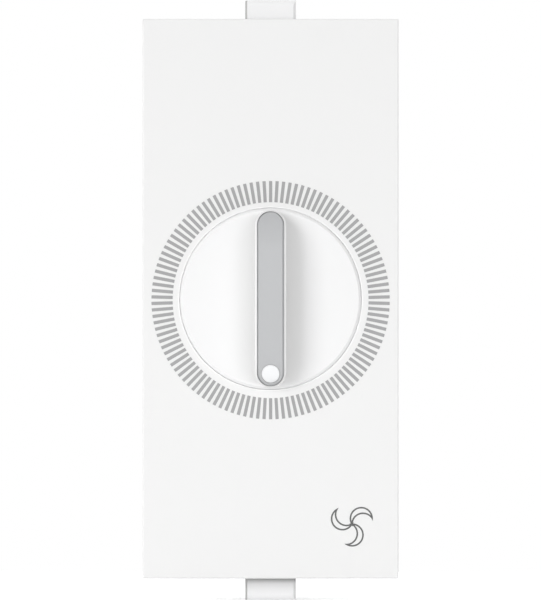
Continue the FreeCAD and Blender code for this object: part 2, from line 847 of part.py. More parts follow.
def make_resistor(z, side):
    """Axial resistor lying along X, on the rear face (side 1) or front face (side -1)."""
    face = board_back if side > 0 else board_front
    axis_y = face + side * (part_gap + resistor_radius)
    far = board_front - lead_proud if side > 0 else board_back + part_gap / 2
    half = resistor_lead_width / 2
    reach = resistor_lead_pitch / 2 + half
    outside = axis_y + side * half
    body = Part.makeCylinder(resistor_radius, resistor_length,
                             Vector(-resistor_length / 2, axis_y, z), Vector(1, 0, 0))
    wire = block(-reach, reach, axis_y - half, axis_y + half, z - half, z + half)
    legs = [slab(2 * half, 2 * half, min(outside, far), max(outside, far), x, leg_z)
            for x, leg_z in resistor_lead_places(z)]
    return fuse_all([body, wire] + legs)


# Wire terminals: fixed bar, rising cage and screw

def make_terminal_bar(x):
    """Angled brass bar that the wire is pressed against, with a pin into the board."""
    bottom = bar_to_wall - rear_top
    leg_bottom = cage_top + bar_leg_gap
    leg_top = leg_bottom + bar_thickness
    bar = block(x - bar_width / 2, x + bar_width / 2, bar_front, bar_back, bottom, leg_top)
    leg = block(x - bar_width / 2, x + bar_width / 2, board_back, bar_back,
                leg_bottom, leg_top)
    pin = block(x - bar_pin_width / 2, x + bar_pin_width / 2, board_front - lead_proud,
                board_back + past, leg_bottom, leg_top)
    return fuse_all([bar, leg, pin])


def make_terminal_cage(x):
    """Square cage with a window for the wire and a threaded rear wall."""
    frame = slab(cage_width, cage_height, cage_front, cage_back, x, cage_middle)
    window = slab(cage_width - 2 * cage_side_wall, cage_height + past, window_front,
                  cage_back - cage_thread_wall, x, cage_middle)
    thread = rod(screw_radius + running_gap, cage_front + cage_base_wall, cage_back + past,
                 x, cage_middle)
    return cut_all(frame, [window, thread])


def make_terminal_screw(x):
    """Captive screw that bears on the bar and lifts the cage."""
    tip = bar_back + screw_tip_gap
    shank = rod(screw_radius, tip, head_front + root, x, cage_middle)
    head = rod(screw_head_radius, head_front, head_back, x, cage_middle)
    rim = [edge for edge in head.Edges
           if all(abs(vertex.Point.y - head_back) < 1e-6 for vertex in edge.Vertexes)]
    head = head.makeChamfer(screw_head_chamfer, rim)
    slot = slab(2 * screw_head_radius + past, screw_slot_width,
                head_back - screw_slot_depth, head_back + past, x, cage_middle)
    return fuse_all([shank, head]).cut(slot)


def make_parts():
    parts = {
        "front_plate": make_front_plate(),
        "dial_marks": make_dial_marks(),
        "rear_housing": make_rear_housing(),
        "knob_body": make_knob_body(),
        "knob_inlay": make_knob_inlay(),
        "pointer_dot": make_pointer_dot(),
        "knob_grip_clip": make_knob_clip(),
        "switch_spindle": make_switch_spindle(),
        "spindle_ring": make_spindle_ring(),
        "wiper_contact": make_wiper(),
        "switch_cover": make_switch_cover(),
        "switch_base": make_switch_base(),
        "switch_rivets": make_switch_rivets(),
        "common_contact": make_common_contact(),
        "detent_spring": make_detent_spring(),
        "circuit_board": make_circuit_board(),
        "capacitor_large": make_capacitor(
            large_capacitor_bottom, large_capacitor_height, large_capacitor_depth),
        "capacitor_small": make_capacitor(
            small_capacitor_bottom, small_capacitor_height, small_capacitor_depth),
        "bleed_resistor": make_resistor(bleed_resistor_place, -1),
    }
    for index, (x, z) in enumerate(contact_places()):
        parts["contact_" + ("off" if index == 0 else str(index))] = make_fixed_contact(x, z)
    for index, z in enumerate(surge_resistor_places):
        parts[f"surge_resistor_{index + 1}"] = make_resistor(z, 1)
    for name, x in terminal_places.items():
        parts["terminal_bar_" + name] = make_terminal_bar(x)
        parts["terminal_cage_" + name] = make_terminal_cage(x)
        parts["terminal_screw_" + name] = make_terminal_screw(x)
    return parts


os.makedirs("parts", exist_ok=True)
for name, shape in make_parts().items():
    assert shape.isValid(), name
    shape.exportStep(f"parts/{name}.step")
    print(f"{name}: {len(shape.Solids)} solid, {shape.Volume:.1f} mm3")
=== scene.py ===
import math

import bmesh
import bpy
import numpy as np
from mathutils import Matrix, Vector


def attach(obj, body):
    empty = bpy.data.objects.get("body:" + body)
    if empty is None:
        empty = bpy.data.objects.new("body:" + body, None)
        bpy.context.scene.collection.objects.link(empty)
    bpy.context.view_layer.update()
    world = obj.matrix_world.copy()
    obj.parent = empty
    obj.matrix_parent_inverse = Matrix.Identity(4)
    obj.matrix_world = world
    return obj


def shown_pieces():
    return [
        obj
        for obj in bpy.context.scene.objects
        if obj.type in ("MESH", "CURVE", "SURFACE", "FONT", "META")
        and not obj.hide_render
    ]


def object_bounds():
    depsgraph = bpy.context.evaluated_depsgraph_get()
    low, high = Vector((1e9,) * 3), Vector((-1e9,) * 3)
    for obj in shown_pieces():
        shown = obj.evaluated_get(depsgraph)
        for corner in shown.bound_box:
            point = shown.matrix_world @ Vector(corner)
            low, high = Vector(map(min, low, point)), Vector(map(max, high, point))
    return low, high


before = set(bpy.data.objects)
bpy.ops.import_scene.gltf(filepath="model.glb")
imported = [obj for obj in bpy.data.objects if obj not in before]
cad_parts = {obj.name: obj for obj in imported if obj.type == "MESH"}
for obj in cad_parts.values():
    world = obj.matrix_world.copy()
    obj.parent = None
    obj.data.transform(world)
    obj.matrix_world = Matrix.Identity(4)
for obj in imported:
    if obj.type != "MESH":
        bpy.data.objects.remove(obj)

cad_low, cad_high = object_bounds()

MM = 0.001
MICRON = 0.000001

# Places on the fan speed switch, in millimetres: X right, Z up, the front faces -Y
PLATE_FRONT = -6.0
PLATE_END = 24.6
GAP_RADIUS = 8.0
SCREW_AXIS = (5.4, -16.2)
SCREW_HEAD_FRONT = 20.75
RESISTOR_HALF_LENGTH = 3.25
RESISTOR_RINGS = (-2.1, -1.15, -0.2, 1.9)
CAPACITOR_FRONT = 10.69
FAR = 100.0
FLOOR_LEVEL = cad_low.z / MM

# Where masks on the switch begin and end, in millimetres: the knob's gap, which gets painted
# light, on both sides of its radius and behind the plate's front, the rim, which is kept clear
# of the painted corner shade, by its distance from the knob's axis, the painted shade on the
# catches' chamfers from the catch's side inwards, and the lower catch's painted shade from the
# plate's lower edge
GAP_FADE = (0.06, 0.09)
GAP_SUNK = 0.1
RIM_FADE = (7.4, 7.7)
CATCH_SIDE = 2.23
CATCH_CHAMFER = (0.2, 0.14)
CATCH_CHAMFER_BACK = -3.15
CATCH_HIDDEN = 0.3
CATCH_SHADE = (-0.55, 0.1)
PAINT_FADE = 0.02

# Patterns: noise cells to the metre, and the ends of the ramps on them
CLOUD_CELLS = 260.0
SPECK_CELLS = 9000.0
GRAIN_CELLS = 14000.0
SPOT_CELLS = 700.0
SPECK_RAMP = (0.62, 0.74)
SPOT_RAMP = (0.42, 0.72)
EDGE_RAMP = (0.02, 0.25)
CORNER_RAMP = (0.04, 0.4)
# Colour of the dust specks, and also of the painted shade in corners
DUST_AND_SHADE_COLOR = (0.61, 0.61, 0.6)
# Near white of the painted light in the knob's gap
GAP_LIGHT_COLOR = (0.99, 0.99, 0.99)
TIN_COLOR = (0.66, 0.65, 0.63)
# Colour of the painted shade on the catches
PAINTED_SHADE_COLOR = (0.36, 0.36, 0.355)
GRAIN_STRENGTH = 0.6

# Fan sign printed at the lower right of the plate, in millimetres and degrees
SIGN_HUB = (7.15, -19.8)
SIGN_TIP_RADIUS = 1.85
SIGN_TIP_ANGLE = 16.5
SIGN_BLADES = 3
SIGN_OUTER_RADIUS = 0.955
SIGN_INNER_RADIUS = 0.97
SIGN_STROKE = 0.135
SIGN_INK = 0.02
SIGN_SUNK = 0.01
SIGN_HUB_RADIUS = 0.11
SIGN_HUB_SIDES = 32
SIGN_ARC_POINTS = 48

# The view of the photograph, in millimetres on the front plate
VIEW_CENTRE = (-0.007, -0.105)
VIEW_HEIGHT = 52.73


def add_node(tree, kind, **settings):
    """A new node of the tree with its settings."""
    node = tree.nodes.new(kind)
    for name, value in settings.items():
        setattr(node, name, value)
    return node


def math_node(tree, operation, first, second=None, clamp=False):
    """One sum on two sockets or numbers."""
    node = add_node(tree, "ShaderNodeMath", operation=operation, use_clamp=clamp)
    for index, value in enumerate((first, second)):
        if value is None:
            continue
        if isinstance(value, bpy.types.NodeSocket):
            tree.links.new(value, node.inputs[index])
        else:
            node.inputs[index].default_value = value
    return node.outputs[0]


def noise(tree, vector, scale, detail=2.0, roughness=0.5):
    """Noise of so many cells to the metre."""
    node = add_node(tree, "ShaderNodeTexNoise")
    node.inputs["Scale"].default_value = scale
    node.inputs["Detail"].default_value = detail
    node.inputs["Roughness"].default_value = roughness
    tree.links.new(vector, node.inputs["Vector"])
    return node.outputs["Fac"]


def ramp(tree, fac, low, high):
    """Zero below low, one above high and smooth between."""
    node = add_node(tree, "ShaderNodeMapRange", interpolation_type="SMOOTHSTEP")
    node.inputs["From Min"].default_value = low
    node.inputs["From Max"].default_value = high
    tree.links.new(fac, node.inputs["Value"])
    return node.outputs["Result"]


def swing(tree, pattern, amount):
    """A pattern about a half, as a change about zero of that amount."""
    return math_node(tree, "MULTIPLY", math_node(tree, "SUBTRACT", pattern, 0.5), amount)


def blend_colors(tree, fac, first, second):
    """Two colours, sockets or triples, blended by fac."""
    node = add_node(tree, "ShaderNodeMix", data_type="RGBA", blend_type="MIX")
    for name, value in (("Factor", fac), ("A", first), ("B", second)):
        socket = [s for s in node.inputs if s.name == name and s.enabled][0]
        if isinstance(value, bpy.types.NodeSocket):
            tree.links.new(value, socket)
        else:
            socket.default_value = (*value, 1.0)
    return [s for s in node.outputs if s.enabled][0]


def object_point(tree):
    """The place of a point on the switch."""
    return add_node(tree, "ShaderNodeTexCoord").outputs["Object"]


def axes(tree, point):
    """X, Y and Z of a point."""
    parts = add_node(tree, "ShaderNodeSeparateXYZ")
    tree.links.new(point, parts.inputs[0])
    return parts.outputs["X"], parts.outputs["Y"], parts.outputs["Z"]


def knob_radius(tree, x, z):
    """Distance from the knob's axis."""
    flat = add_node(tree, "ShaderNodeCombineXYZ")
    tree.links.new(x, flat.inputs["X"])
    tree.links.new(z, flat.inputs["Z"])
    length = add_node(tree, "ShaderNodeVectorMath", operation="LENGTH")
    tree.links.new(flat.outputs[0], length.inputs[0])
    return length.outputs["Value"]


def edge_wear_and_light_mask(tree, start):
    """How much a rounding of the group's edge width would turn the surface, times the
    group's edge amount."""
    rounded = add_node(tree, "ShaderNodeBevel", samples=6)
    tree.links.new(start.outputs["Edge Width"], rounded.inputs["Radius"])
    meet = add_node(tree, "ShaderNodeVectorMath", operation="DOT_PRODUCT")
    tree.links.new(rounded.outputs["Normal"], meet.inputs[0])
    sharp = add_node(tree, "ShaderNodeNewGeometry").outputs["True Normal"]
    tree.links.new(sharp, meet.inputs[1])
    turned = math_node(tree, "SUBTRACT", 1.0, meet.outputs["Value"])
    return math_node(tree, "MULTIPLY", ramp(tree, turned, *EDGE_RAMP),
                     start.outputs["Edge Amount"], True)


def new_group(name, ins, outs):
    """An empty shader node group with named inputs and outputs."""
    tree = bpy.data.node_groups.new(name, "ShaderNodeTree")
    for label, kind, value in ins:
        socket = tree.interface.new_socket(label, in_out="INPUT", socket_type=kind)
        socket.default_value = value
    for label, kind in outs:
        tree.interface.new_socket(label, in_out="OUTPUT", socket_type=kind)
    return tree, tree.nodes.new("NodeGroupInput"), tree.nodes.new("NodeGroupOutput")


def make_moulding_group():
    """Moulded plastic: a fine spark-eroded grain, faint flow clouds in the colour, edges
    rubbed a little smoother and given an edge colour, which is wear and also serves as painted
    highlight and painted shade, a trace of dust on faces, painted shade in corners, and
    painted light in the knob's gap, whose walls are made near white and metallic."""
    tree, start, end = new_group(
        "moulded_surface",
        [("Color", "NodeSocketColor", (0.8, 0.8, 0.8, 1.0)),
         ("Cloud Depth", "NodeSocketFloat", 0.01),
         ("Edge Color", "NodeSocketColor", (0.9, 0.9, 0.9, 1.0)),
         ("Edge Amount", "NodeSocketFloat", 0.3),
         ("Edge Width", "NodeSocketFloat", 0.0001),
         ("Dust Amount", "NodeSocketFloat", 0.05),
         ("Corner Dust", "NodeSocketFloat", 0.0),
         ("Corner Reach", "NodeSocketFloat", 0.003),
         ("Polished Gap", "NodeSocketFloat", 0.0),
         ("Roughness", "NodeSocketFloat", 0.4),
         ("Roughness Change", "NodeSocketFloat", 0.06)],
        [("Color", "NodeSocketColor"), ("Roughness", "NodeSocketFloat"),
         ("Grain", "NodeSocketFloat"), ("Gap Light", "NodeSocketFloat")])
    point = object_point(tree)
    x, y, z = axes(tree, point)
    radius = knob_radius(tree, x, z)
    edge_wear_and_light = edge_wear_and_light_mask(tree, start)

    cloud = swing(tree, noise(tree, point, CLOUD_CELLS, 3.0), start.outputs["Cloud Depth"])
    clouded = add_node(tree, "ShaderNodeVectorMath", operation="SCALE")
    tree.links.new(start.outputs["Color"], clouded.inputs[0])
    tree.links.new(math_node(tree, "ADD", cloud, 1.0), clouded.inputs["Scale"])
    # Edge colour: wear, and also a painted highlight on the plate's and knob's edges and
    # painted shade round the inlay's edges
    edge_lit_and_worn = blend_colors(tree, edge_wear_and_light, clouded.outputs["Vector"], start.outputs["Edge Color"])

    specks = ramp(tree, noise(tree, point, SPECK_CELLS, 2.0, 0.7), *SPECK_RAMP)
    dust_and_shade = math_node(tree, "MULTIPLY", specks, start.outputs["Dust Amount"], True)
    # Painted shade: the colour darkens towards the dust colour in corners, by how shut in they
    # are, but not at the knob's rim
    open_sky = add_node(tree, "ShaderNodeAmbientOcclusion", samples=8)
    tree.links.new(start.outputs["Corner Reach"], open_sky.inputs["Distance"])
    shut = math_node(tree, "SUBTRACT", 1.0, open_sky.outputs["AO"])
    rim = ramp(tree, radius, RIM_FADE[0] * MM, RIM_FADE[1] * MM)
    corner = math_node(tree, "MULTIPLY", ramp(tree, shut, *CORNER_RAMP),
                       math_node(tree, "SUBTRACT", 1.0, rim))
    corner_shade = math_node(tree, "MULTIPLY", corner, start.outputs["Corner Dust"])
    dust_and_shade = math_node(tree, "ADD", dust_and_shade, corner_shade, True)
    dusty_and_shaded = blend_colors(tree, dust_and_shade, edge_lit_and_worn, DUST_AND_SHADE_COLOR)

    # Painted light: in the knob's gap, behind the plate's front, the colour goes near white
    # and the walls metallic, so that the gap looks lighter
    off_gap = math_node(tree, "ABSOLUTE",
                        math_node(tree, "SUBTRACT", radius, GAP_RADIUS * MM))
    in_gap = math_node(tree, "SUBTRACT", 1.0,
                       ramp(tree, off_gap, GAP_FADE[0] * MM, GAP_FADE[1] * MM))
    sunk = ramp(tree, y, (PLATE_FRONT - GAP_SUNK) * MM, PLATE_FRONT * MM)
    gap_light = math_node(tree, "MULTIPLY", math_node(tree, "MULTIPLY", in_gap, sunk),
                       start.outputs["Polished Gap"])

    grain = noise(tree, point, GRAIN_CELLS, 2.0, 0.6)
    rough = math_node(tree, "ADD", start.outputs["Roughness"],
                      swing(tree, grain, start.outputs["Roughness Change"]))
    rough = math_node(tree, "SUBTRACT", rough, math_node(tree, "MULTIPLY", edge_wear_and_light, 0.1), True)

    tree.links.new(blend_colors(tree, gap_light, dusty_and_shaded, GAP_LIGHT_COLOR), end.inputs["Color"])
    tree.links.new(rough, end.inputs["Roughness"])
    tree.links.new(grain, end.inputs["Grain"])
    tree.links.new(gap_light, end.inputs["Gap Light"])
    return tree


def make_metal_group():
    """Pressed or turned metal: drawn streaks along one direction, dull spots, and bright
    rubbed edges."""
    tree, start, end = new_group(
        "worked_metal",
        [("Color", "NodeSocketColor", (0.7, 0.7, 0.7, 1.0)),
         ("Tarnish Color", "NodeSocketColor", (0.4, 0.4, 0.4, 1.0)),
         ("Tarnish Amount", "NodeSocketFloat", 0.3),
         ("Edge Amount", "NodeSocketFloat", 0.5),
         ("Edge Width", "NodeSocketFloat", 0.00008),
         ("Streak Cells", "NodeSocketVector", (3000.0, 3000.0, 30000.0)),
         ("Roughness", "NodeSocketFloat", 0.35),
         ("Roughness Change", "NodeSocketFloat", 0.15)],
        [("Color", "NodeSocketColor"), ("Roughness", "NodeSocketFloat"),
         ("Grain", "NodeSocketFloat")])
    point = object_point(tree)
    edge_wear_and_light = edge_wear_and_light_mask(tree, start)

    drawn = add_node(tree, "ShaderNodeVectorMath", operation="MULTIPLY")
    tree.links.new(point, drawn.inputs[0])
    tree.links.new(start.outputs["Streak Cells"], drawn.inputs[1])
    streaks = noise(tree, drawn.outputs["Vector"], 1.0, 3.0, 0.6)

    spots = ramp(tree, noise(tree, point, SPOT_CELLS, 5.0, 0.62), *SPOT_RAMP)
    tarnish = math_node(tree, "MULTIPLY", spots, start.outputs["Tarnish Amount"], True)
    dull = blend_colors(tree, tarnish, start.outputs["Color"], start.outputs["Tarnish Color"])

    rough = math_node(tree, "ADD", start.outputs["Roughness"],
                      swing(tree, streaks, start.outputs["Roughness Change"]))
    rough = math_node(tree, "ADD", rough, math_node(tree, "MULTIPLY", tarnish, 0.15), True)

    tree.links.new(blend_colors(tree, edge_wear_and_light, dull, start.outputs["Color"]),
                   end.inputs["Color"])
    tree.links.new(rough, end.inputs["Roughness"])
    tree.links.new(streaks, end.inputs["Grain"])
    return tree


def make_band_group():
    """A ring of paint round a part that lies along X: the band's colour where the distance
    along X from its place is under half its width."""
    tree, start, end = new_group(
        "painted_band",
        [("Color", "NodeSocketColor", (0.5, 0.5, 0.5, 1.0)),
         ("Band Color", "NodeSocketColor", (0.1, 0.1, 0.1, 1.0)),
         ("Place", "NodeSocketFloat", 0.0),
         ("Half Width", "NodeSocketFloat", 0.00028)],
        [("Color", "NodeSocketColor")])
    x, y, z = axes(tree, object_point(tree))
    apart = math_node(tree, "ABSOLUTE",
                      math_node(tree, "SUBTRACT", x, start.outputs["Place"]))
    beyond = math_node(tree, "SUBTRACT", apart, start.outputs["Half Width"])
    paint = math_node(tree, "SUBTRACT", 1.0,
                      ramp(tree, beyond, -PAINT_FADE * MM, PAINT_FADE * MM))
    banded = blend_colors(tree, paint, start.outputs["Color"], start.outputs["Band Color"])
    tree.links.new(banded, end.inputs["Color"])
    return tree


def make_lead_group():
    """Tinned leads of a coated part: bare metal further along X than the body's half length
    or in front of the body's front, and the coat everywhere else."""
    tree, start, end = new_group(
        "tinned_leads",
        [("Color", "NodeSocketColor", (0.5, 0.5, 0.5, 1.0)),
         ("Body Half Length", "NodeSocketFloat", 1.0),
         ("Body Front", "NodeSocketFloat", -1.0)],
        [("Color", "NodeSocketColor"), ("Bare Metal", "NodeSocketFloat")])
    x, y, z = axes(tree, object_point(tree))
    past_end = math_node(tree, "GREATER_THAN", math_node(tree, "ABSOLUTE", x),
                         start.outputs["Body Half Length"])
    in_front = math_node(tree, "LESS_THAN", y, start.outputs["Body Front"])
    bare = math_node(tree, "MAXIMUM", past_end, in_front)
    tree.links.new(blend_colors(tree, bare, start.outputs["Color"], TIN_COLOR),
                   end.inputs["Color"])
    tree.links.new(bare, end.inputs["Bare Metal"])
    return tree


def make_thread_group():
    """Thread of a terminal screw: a ridge once in each pitch along Y, moved on by the turn
    about the screw's axis, on the shank alone. The height is 1 less twice the distance
    from the ridge in pitches."""
    tree, start, end = new_group(
        "screw_thread", [("Pitch", "NodeSocketFloat", 0.0005)],
        [("Height", "NodeSocketFloat")])
    x, y, z = axes(tree, object_point(tree))
    axis_x = math_node(tree, "MULTIPLY", math_node(tree, "SIGN", x), SCREW_AXIS[0] * MM)
    across = math_node(tree, "SUBTRACT", x, axis_x)
    up = math_node(tree, "SUBTRACT", z, SCREW_AXIS[1] * MM)
    turn = math_node(tree, "DIVIDE", math_node(tree, "ARCTAN2", up, across), 2 * math.pi)
    advance = math_node(tree, "DIVIDE", y, start.outputs["Pitch"])
    ridge = math_node(tree, "PINGPONG", math_node(tree, "SUBTRACT", advance, turn), 0.5)
    ridge = math_node(tree, "MULTIPLY", ridge, 2.0)
    shank = math_node(tree, "LESS_THAN", y, SCREW_HEAD_FRONT * MM)
    tree.links.new(math_node(tree, "MULTIPLY", ridge, shank), end.inputs["Height"])
    return tree


def make_catch_group():
    """Painted shade on the two spring catches: on the chamfers along their sides, and on the
    lower catch below the plate's edge, where it fades out over half a millimetre."""
    tree, start, end = new_group(
        "catch_painted_shade",
        [("Color", "NodeSocketColor", (0.88, 0.88, 0.88, 1.0)),
         ("Grime Color", "NodeSocketColor", (0.5, 0.5, 0.5, 1.0)),
         ("Left Amount", "NodeSocketFloat", 0.5),
         ("Right Amount", "NodeSocketFloat", 0.5),
         ("Lower Amount", "NodeSocketFloat", 0.5)],
        [("Color", "NodeSocketColor")])
    x, y, z = axes(tree, object_point(tree))
    beyond = math_node(tree, "GREATER_THAN", math_node(tree, "ABSOLUTE", z),
                       (PLATE_END - CATCH_HIDDEN) * MM)
    fore = math_node(tree, "LESS_THAN", y, CATCH_CHAMFER_BACK * MM)
    face = math_node(tree, "MULTIPLY", beyond, fore)

    inner, outer = ((CATCH_SIDE - inset) * MM for inset in CATCH_CHAMFER)
    right = math_node(tree, "MULTIPLY", ramp(tree, x, inner, outer),
                      start.outputs["Right Amount"])
    leftward = math_node(tree, "MULTIPLY", x, -1.0)
    left = math_node(tree, "MULTIPLY", ramp(tree, leftward, inner, outer),
                     start.outputs["Left Amount"])
    side = math_node(tree, "MAXIMUM", left, right)

    above_edge = math_node(tree, "ADD", z, PLATE_END * MM)
    lower = math_node(tree, "MULTIPLY",
                      ramp(tree, above_edge, CATCH_SHADE[0] * MM, CATCH_SHADE[1] * MM),
                      math_node(tree, "LESS_THAN", z, 0.0))
    lower = math_node(tree, "MULTIPLY", lower, start.outputs["Lower Amount"])
    painted_shade = math_node(tree, "MULTIPLY", math_node(tree, "MAXIMUM", side, lower), face)
    shaded = blend_colors(tree, painted_shade, start.outputs["Color"], start.outputs["Grime Color"])
    tree.links.new(shaded, end.inputs["Color"])
    return tree


def fill(surface, inputs):
    """Sets the inputs of a group's node, where Edge_Color stands for the input Edge Color."""
    for label, value in inputs.items():
        socket = surface.inputs[label.replace("_", " ")]
        socket.default_value = (*value, 1.0) if socket.type == "RGBA" else value


def dress(name, group, grain, shine, **inputs):
    """A material: one surface group into a Principled shader, with the group's grain as
    relief of so many microns."""
    material = bpy.data.materials.new(name)
    material.use_nodes = True
    tree = material.node_tree
    shader = tree.nodes["Principled BSDF"]
    surface = add_node(tree, "ShaderNodeGroup", node_tree=group)
    fill(surface, inputs)
    for label, value in shine.items():
        shader.inputs[label].default_value = value
    relief = add_node(tree, "ShaderNodeBump")
    relief.inputs["Strength"].default_value = GRAIN_STRENGTH
    relief.inputs["Distance"].default_value = grain * MICRON
    tree.links.new(surface.outputs["Grain"], relief.inputs["Height"])
    tree.links.new(surface.outputs["Color"], shader.inputs["Base Color"])
    tree.links.new(surface.outputs["Roughness"], shader.inputs["Roughness"])
    tree.links.new(relief.outputs["Normal"], shader.inputs["Normal"])
    # The painted light in the knob's gap also drives the metallic weight
    if "Polished_Gap" in inputs:
        tree.links.new(surface.outputs["Gap Light"], shader.inputs["Metallic"])
    return material


def recolor(material, group, **inputs):
    """Puts a group between a material's colour and its shader, and gives the group's node."""
    tree = material.node_tree
    base = tree.nodes["Principled BSDF"].inputs["Base Color"]
    layer = add_node(tree, "ShaderNodeGroup", node_tree=group)
    fill(layer, inputs)
    tree.links.new(base.links[0].from_socket, layer.inputs["Color"])
    tree.links.new(layer.outputs["Color"], base)
    return layer


def bare_leads(material, half_length=FAR, front=-FAR):
    """Tinned leads beyond a body of that half length and front, in millimetres."""
    leads = recolor(material, tinned_leads, Body_Half_Length=half_length * MM,
                    Body_Front=front * MM)
    tree = material.node_tree
    tree.links.new(leads.outputs["Bare Metal"],
                   tree.nodes["Principled BSDF"].inputs["Metallic"])


def cut_thread(material, depth):
    """Relief of a screw thread, so many millimetres deep, over the metal's own grain."""
    tree = material.node_tree
    normal = tree.nodes["Principled BSDF"].inputs["Normal"]
    thread = add_node(tree, "ShaderNodeGroup", node_tree=screw_thread)
    relief = add_node(tree, "ShaderNodeBump")
    relief.inputs["Distance"].default_value = depth * MM
    tree.links.new(thread.outputs["Height"], relief.inputs["Height"])
    tree.links.new(normal.links[0].from_socket, relief.inputs["Normal"])
    tree.links.new(relief.outputs["Normal"], normal)


moulded_surface = make_moulding_group()
worked_metal = make_metal_group()
painted_band = make_band_group()
tinned_leads = make_lead_group()
screw_thread = make_thread_group()
catch_painted_shade = make_catch_group()

PLASTIC = {"Specular IOR Level": 0.4, "IOR": 1.5}
METAL = {"Metallic": 1.0}
RING_BROWN = (0.09, 0.03, 0.012)
RING_BLACK = (0.01, 0.01, 0.01)
RING_GOLD = (0.45, 0.3, 0.08)
RING_YELLOW = (0.8, 0.55, 0.03)
RING_VIOLET = (0.12, 0.05, 0.25)

plate_white = dress(
    "plate_white", moulded_surface, 3, PLASTIC, Color=(0.86, 0.86, 0.858),
    # The plate's lighter edge colour is a painted highlight on its edges
    Cloud_Depth=0.006, Edge_Color=(0.98, 0.98, 0.98), Edge_Amount=0.9, Edge_Width=0.00015,
    # The plate's side of the knob's gap gets painted light
    Dust_Amount=0.004, Polished_Gap=1.0, Roughness=0.42, Roughness_Change=0.06)
knob_white = dress(
    # The knob gets painted shade in its corners, as at the foot of the grip
    "knob_white", moulded_surface, 1, PLASTIC, Color=(0.90, 0.90, 0.902),
    # The knob's lighter edge colour is a painted highlight on its rim
    Cloud_Depth=0.004, Edge_Color=(0.99, 0.99, 0.99), Edge_Amount=0.9, Edge_Width=0.0002,
    # The knob's side of its gap gets painted light
    Dust_Amount=0.002, Corner_Dust=0.33, Polished_Gap=1.0, Roughness=0.30,
    Roughness_Change=0.04)
housing_white = dress(
    "housing_white", moulded_surface, 6, PLASTIC, Color=(0.90, 0.90, 0.905),
    Cloud_Depth=0.02, Edge_Color=(0.93, 0.93, 0.93), Edge_Amount=0.25, Edge_Width=0.00012,
    Dust_Amount=0.02, Roughness=0.5, Roughness_Change=0.1)
tick_grey = dress(
    "tick_grey", moulded_surface, 2, PLASTIC, Color=(0.375, 0.375, 0.378),
    Cloud_Depth=0.03, Edge_Color=(0.48, 0.48, 0.48), Edge_Amount=0.2, Edge_Width=0.00002,
    Dust_Amount=0.02, Roughness=0.55, Roughness_Change=0.1)
sign_ink = dress(
    "sign_ink", moulded_surface, 2, PLASTIC, Color=(0.125, 0.127, 0.126),
    Cloud_Depth=0.03, Edge_Color=(0.2, 0.2, 0.2), Edge_Amount=0.1, Edge_Width=0.00002,
    Dust_Amount=0.01, Roughness=0.55, Roughness_Change=0.1)
inlay_grey = dress(
    "inlay_grey", moulded_surface, 2, PLASTIC, Color=(0.52, 0.527, 0.537),
    # The inlay's darker edge colour is painted shade round its edges
    Cloud_Depth=0.01, Edge_Color=(0.45, 0.45, 0.46), Edge_Amount=0.85, Edge_Width=0.00022,
    Dust_Amount=0.01, Roughness=0.38, Roughness_Change=0.05)
pointer_white = dress(
    "pointer_white", moulded_surface, 1, PLASTIC, Color=(0.955, 0.965, 0.975),
    Cloud_Depth=0.004, Edge_Color=(0.97, 0.97, 0.97), Edge_Amount=0.3, Edge_Width=0.0001,
    Dust_Amount=0.0, Roughness=0.32, Roughness_Change=0.04)
spindle_cream = dress(
    "spindle_cream", moulded_surface, 4, PLASTIC, Color=(0.78, 0.76, 0.69),
    Cloud_Depth=0.04, Edge_Color=(0.86, 0.85, 0.8), Edge_Amount=0.4, Edge_Width=0.0001,
    Dust_Amount=0.03, Roughness=0.45, Roughness_Change=0.1)
switch_black = dress(
    "switch_black", moulded_surface, 6, PLASTIC, Color=(0.028, 0.028, 0.03),
    Cloud_Depth=0.2, Edge_Color=(0.09, 0.09, 0.09), Edge_Amount=0.5, Edge_Width=0.0001,
    Dust_Amount=0.15, Roughness=0.5, Roughness_Change=0.15)
board_brown = dress(
    "board_brown", moulded_surface, 4, PLASTIC, Color=(0.30, 0.20, 0.075),
    Cloud_Depth=0.25, Edge_Color=(0.45, 0.36, 0.2), Edge_Amount=0.5, Edge_Width=0.0001,
    Dust_Amount=0.1, Roughness=0.4, Roughness_Change=0.12)
capacitor_blue = dress(
    "capacitor_blue", moulded_surface, 8, PLASTIC, Color=(0.03, 0.07, 0.24),
    Cloud_Depth=0.15, Edge_Color=(0.07, 0.14, 0.36), Edge_Amount=0.4, Edge_Width=0.0002,
    Dust_Amount=0.1, Roughness=0.32, Roughness_Change=0.12)
bleed_tan, surge_blue = [
    dress(name, moulded_surface, 8, PLASTIC, Color=coat, Cloud_Depth=0.12,
          Edge_Color=rubbed_coat, Edge_Amount=0.3, Edge_Width=0.0001, Dust_Amount=0.1,
          Roughness=0.45, Roughness_Change=0.1)
    for name, coat, rubbed_coat in (
        ("bleed_tan", (0.52, 0.40, 0.24), (0.6, 0.5, 0.34)),
        ("surge_blue", (0.10, 0.30, 0.42), (0.2, 0.42, 0.52)))]
spring_metal = dress(
    "spring_metal", worked_metal, 3, METAL, Color=(0.62, 0.62, 0.63),
    Tarnish_Color=(0.42, 0.40, 0.38), Tarnish_Amount=0.25, Edge_Amount=0.6,
    Roughness=0.26, Roughness_Change=0.12)
brass = dress(
    "brass", worked_metal, 3, METAL, Color=(0.78, 0.60, 0.28),
    Tarnish_Color=(0.48, 0.32, 0.13), Tarnish_Amount=0.4, Edge_Amount=0.6,
    Roughness=0.3, Roughness_Change=0.15)
plated_metal, screw_metal = [
    dress(name, worked_metal, 3, METAL, Color=(0.72, 0.71, 0.67),
          Tarnish_Color=(0.50, 0.47, 0.38), Tarnish_Amount=0.35, Edge_Amount=0.6,
          Roughness=0.3, Roughness_Change=0.15)
    for name in ("plated_metal", "screw_metal")]

